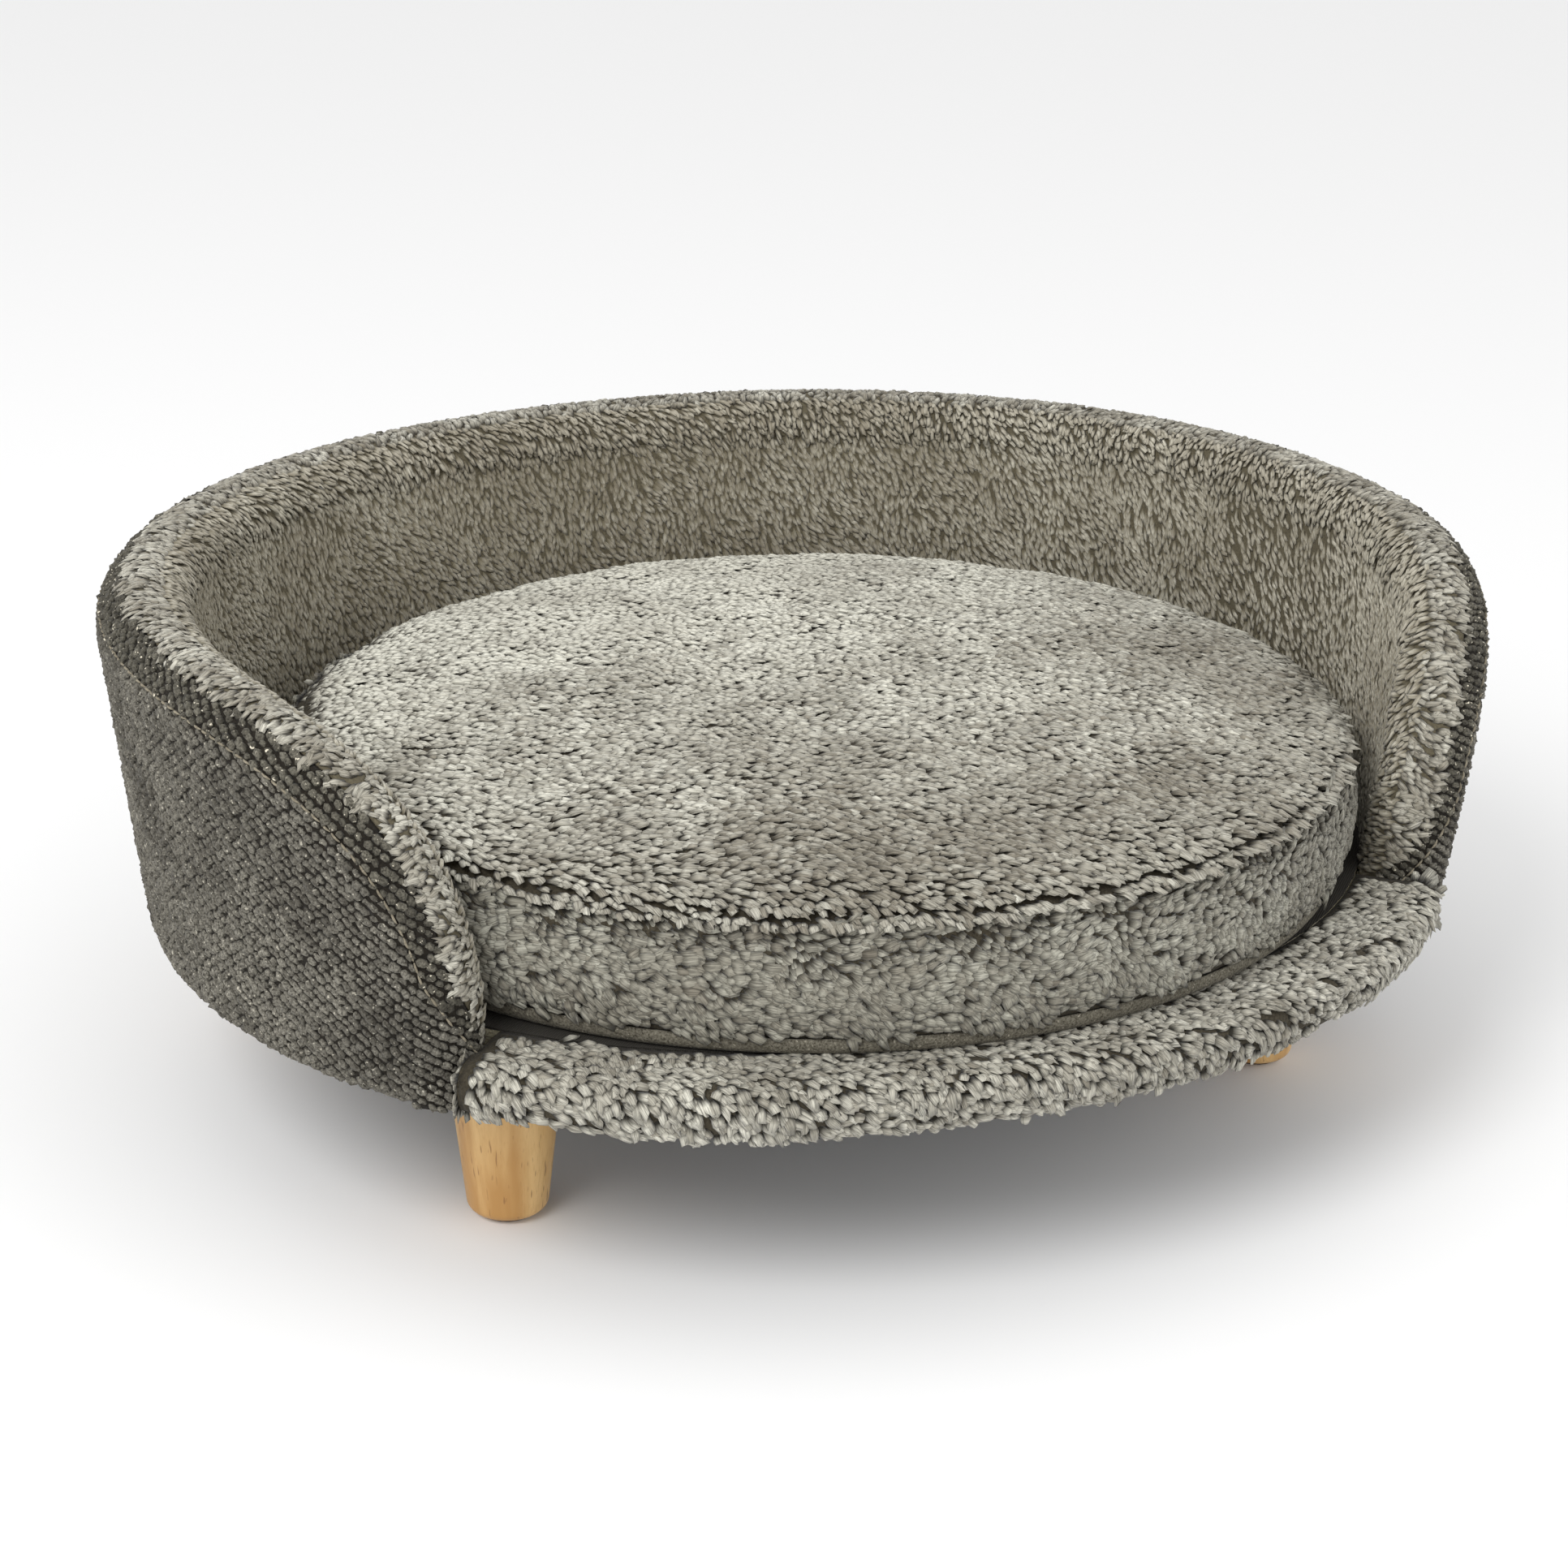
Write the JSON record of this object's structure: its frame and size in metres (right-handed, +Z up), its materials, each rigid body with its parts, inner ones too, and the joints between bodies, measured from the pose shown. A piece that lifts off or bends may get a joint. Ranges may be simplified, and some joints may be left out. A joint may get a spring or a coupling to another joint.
{
  "type": "pet cushion bed",
  "caption": "Raised oval pet bed with a low padded wall open at the front, a loose zipped cushion and turned wooden legs.",
  "frame": {"origin": "on the floor under the middle of the bed's outer box", "axes": "+Z up, the open front faces -Y, +X to the right of someone facing the back wall"},
  "size_m": [0.6954, 0.6218, 0.268],
  "materials": {
    "plush": "short curled chenille pile, warm light grey",
    "woven_cloth": "coarse basket-weave upholstery cloth, dark taupe grey",
    "beech": "satin lacquered beech",
    "plywood": "raw plywood",
    "pine": "sawn pine",
    "foam": "cut polyurethane foam",
    "wadding": "thin quilting foam",
    "black_cloth": "spun-bonded dust cloth",
    "zinc_steel": "zinc plated",
    "nickel": "dull nickel zip metal",
    "felt": "pressed felt",
    "zip_cloth": "woven zip tape",
    "zip_coil": "moulded nylon coil"
  },
  "bodies": {
    "frame": {"dust_cover": "black_cloth", "base_board": "plywood", "deck_foam": "foam", "deck_cloth": "black_cloth", "apron_foam": "foam", "apron_cover": "plush", "wall_shell": "plywood", "outer_wadding": "wadding", "wall_foam": "foam", "rim_roll_foam": "foam", "outer_cover": "woven_cloth", "wall_lining": "plush", "batten_1": "pine", "batten_screw_1": "zinc_steel", "batten_2": "pine", "batten_screw_2": "zinc_steel", "batten_3": "pine", "batten_screw_3": "zinc_steel", "batten_4": "pine", "batten_screw_4": "zinc_steel", "batten_5": "pine", "batten_screw_5": "zinc_steel", "leg_front_left": "beech", "glide_front_left": "felt", "leg_bolt_front_left": "zinc_steel", "tee_nut_front_left": "zinc_steel", "leg_back_left": "beech", "glide_back_left": "felt", "leg_bolt_back_left": "zinc_steel", "tee_nut_back_left": "zinc_steel", "leg_front_right": "beech", "glide_front_right": "felt", "leg_bolt_front_right": "zinc_steel", "tee_nut_front_right": "zinc_steel", "leg_back_right": "beech", "glide_back_right": "felt", "leg_bolt_back_right": "zinc_steel", "tee_nut_back_right": "zinc_steel"},
    "cushion": {"cushion_core": "foam", "cushion_top_panel": "plush", "cushion_boxing": "plush", "cushion_bottom_panel": "woven_cloth", "zip_tape_upper": "zip_cloth", "zip_coil_upper": "zip_coil", "zip_tape_lower": "zip_cloth", "zip_coil_lower": "zip_coil", "zip_stop_left": "nickel", "zip_stop_right": "nickel"},
    "zip_slider_body": {"zip_slider": "nickel"},
    "zip_puller_body": {"zip_puller": "nickel"}
  },
  "joints": [
    {"name": "cushion_lift", "type": "slide", "parent": "frame", "child": "cushion", "axis": [0, 0, 1], "range_m": [0, 0.18]},
    {"name": "zip_slide", "type": "hinge", "parent": "cushion", "child": "zip_slider_body", "pos_m": [0, -0.04754, 0.152], "axis": [0, 0, -1], "range_deg": [0, 41.5]},
    {"name": "zip_puller_swing", "type": "hinge", "parent": "zip_slider_body", "child": "zip_puller_body", "pos_m": [-0.10202, 0.22121, 0.152], "axis": [0.9349, 0.3549, 0], "range_deg": [0, 18]}
  ]
}
